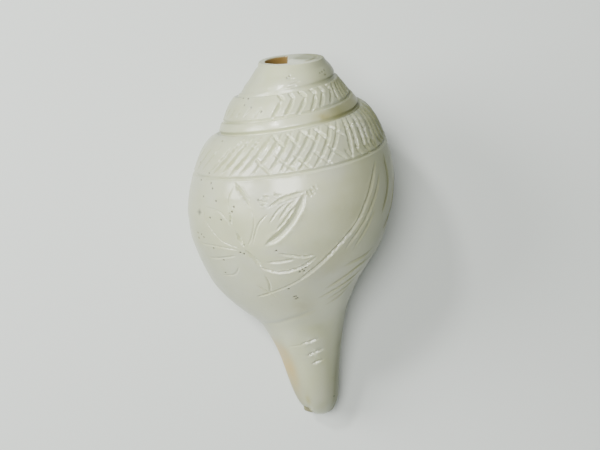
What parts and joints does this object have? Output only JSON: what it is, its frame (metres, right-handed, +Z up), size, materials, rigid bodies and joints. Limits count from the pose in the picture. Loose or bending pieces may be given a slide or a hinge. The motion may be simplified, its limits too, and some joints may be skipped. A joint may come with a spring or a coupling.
{
  "type": "conch shell",
  "caption": "Carved white blowing conch lying aperture down: spiral shell, spire sawn flat for a mouth hole, engraved bands and flower, open lip and canal.",
  "frame": {"origin": "centre of the bounding box's base, on the ground the shell lies on", "axes": "+Y from the canal tip to the sawn blowing end, +Z up out of the shell's back"},
  "size_m": [0.0772, 0.1382, 0.0695],
  "materials": {
    "shell": "polished porcelain-like shell, engraved"
  },
  "bodies": {
    "root": {"shell": "shell"}
  },
  "joints": []
}
